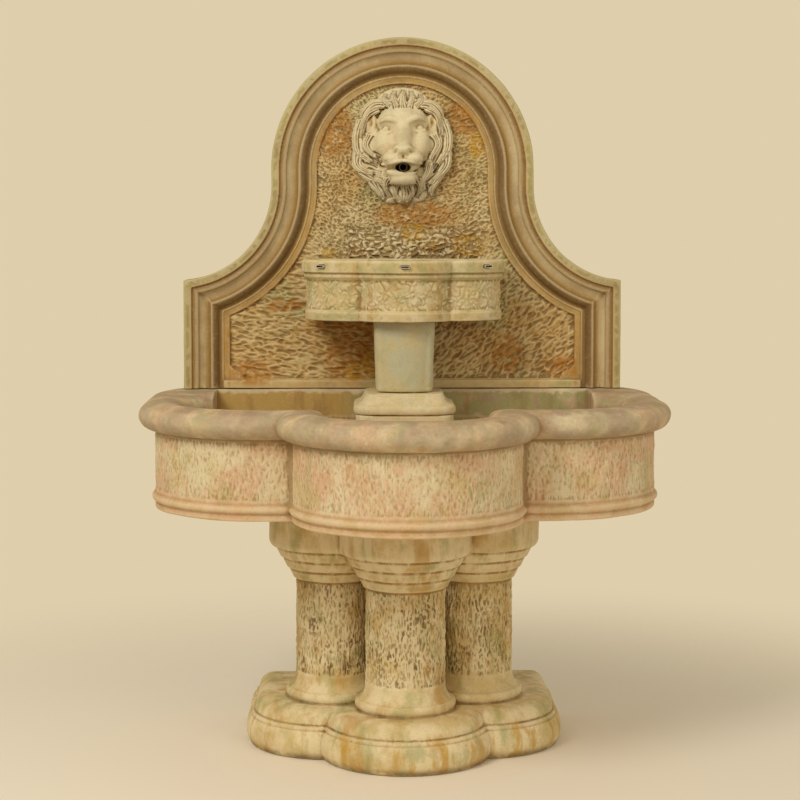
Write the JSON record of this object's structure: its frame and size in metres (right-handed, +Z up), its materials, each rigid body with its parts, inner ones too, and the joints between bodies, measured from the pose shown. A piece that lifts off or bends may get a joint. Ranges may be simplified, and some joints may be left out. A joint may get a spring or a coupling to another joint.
{
  "type": "garden wall fountain",
  "caption": "Wall fountain in aged cast stone: arched back panel with a lion mask, small lobed upper bowl on a riser, large trefoil basin and a clustered column pedestal.",
  "frame": {"origin": "bottom centre of the bounding box, on the floor under the middle of the fountain", "axes": "+Z up, +X to the right of the person who looks at the lion, +Y towards the wall"},
  "size_m": [1.028, 0.7429, 1.407],
  "materials": {
    "pedestal_stone": "patinated cast stone, pitted, matt",
    "basin_stone": "patinated cast stone, chiselled, matt",
    "panel_stone": "patinated cast stone, hammered, matt",
    "mask_stone": "pale cast stone with dark recesses",
    "bowl_stone": "patinated cast stone, crackled, matt",
    "riser_stone": "smooth cast stone, greenish grey",
    "riser_base_stone": "smooth cast stone",
    "chamber_stone": "smooth cast stone",
    "spout_metal": "dull weathered metal",
    "copper": "dull copper tube",
    "black_plastic": "moulded, matt black",
    "grey_plastic": "moulded, matt grey",
    "clear_hose": "soft black vinyl hose",
    "stainless_steel": "stainless steel",
    "zinc_plate": "zinc plated steel",
    "ceramic_shaft": "fine ceramic",
    "black_rubber": "soft rubber",
    "drain_plastic": "moulded, dark grey",
    "stopper_rubber": "moulded rubber"
  },
  "bodies": {
    "fountain": {"pedestal": "pedestal_stone", "basin": "basin_stone", "back_panel": "panel_stone", "lion_mask": "mask_stone", "upper_bowl": "bowl_stone", "riser_column": "riser_stone", "riser_base": "riser_base_stone", "pump_chamber": "chamber_stone", "spout_left": "spout_metal", "spout_center": "spout_metal", "spout_right": "spout_metal", "mouth_pipe": "copper", "hose_elbow": "black_plastic", "feed_hose": "clear_hose", "hose_clamps": "stainless_steel", "hose_clips": "stainless_steel", "pump_body": "black_plastic", "volute_cover": "black_plastic", "impeller_shaft": "ceramic_shaft", "shaft_bushes": "black_rubber", "outlet_barb": "grey_plastic", "pump_feet": "black_rubber", "cord_gland": "black_rubber", "drain_bushing": "drain_plastic", "drain_seal": "black_rubber", "drain_nut": "drain_plastic", "panel_dowels": "stainless_steel", "mask_studs": "stainless_steel", "mask_nuts": "stainless_steel", "hanger_plates": "zinc_plate", "hanger_screws": "stainless_steel"},
    "impeller": {"impeller": "grey_plastic"},
    "intake_cover": {"intake_cover": "black_plastic"},
    "flow_dial": {"flow_dial": "grey_plastic"},
    "drain_stopper": {"drain_stopper": "stopper_rubber"}
  },
  "joints": [
    {"name": "impeller_spin", "type": "hinge", "parent": "fountain", "child": "impeller", "pos_m": [-0.02, 0.1815, 0.579], "axis": [1, 0, 0], "continuous": true},
    {"name": "intake_cover_slide", "type": "slide", "parent": "fountain", "child": "intake_cover", "axis": [1, 0, 0], "range_m": [0, 0.018]},
    {"name": "flow_dial_turn", "type": "hinge", "parent": "intake_cover", "child": "flow_dial", "pos_m": [0.033, 0.1815, 0.579], "axis": [1, 0, 0], "range_deg": [0, 90]},
    {"name": "drain_stopper_lift", "type": "slide", "parent": "fountain", "child": "drain_stopper", "axis": [0, 0, 1], "range_m": [0, 0.03]}
  ]
}
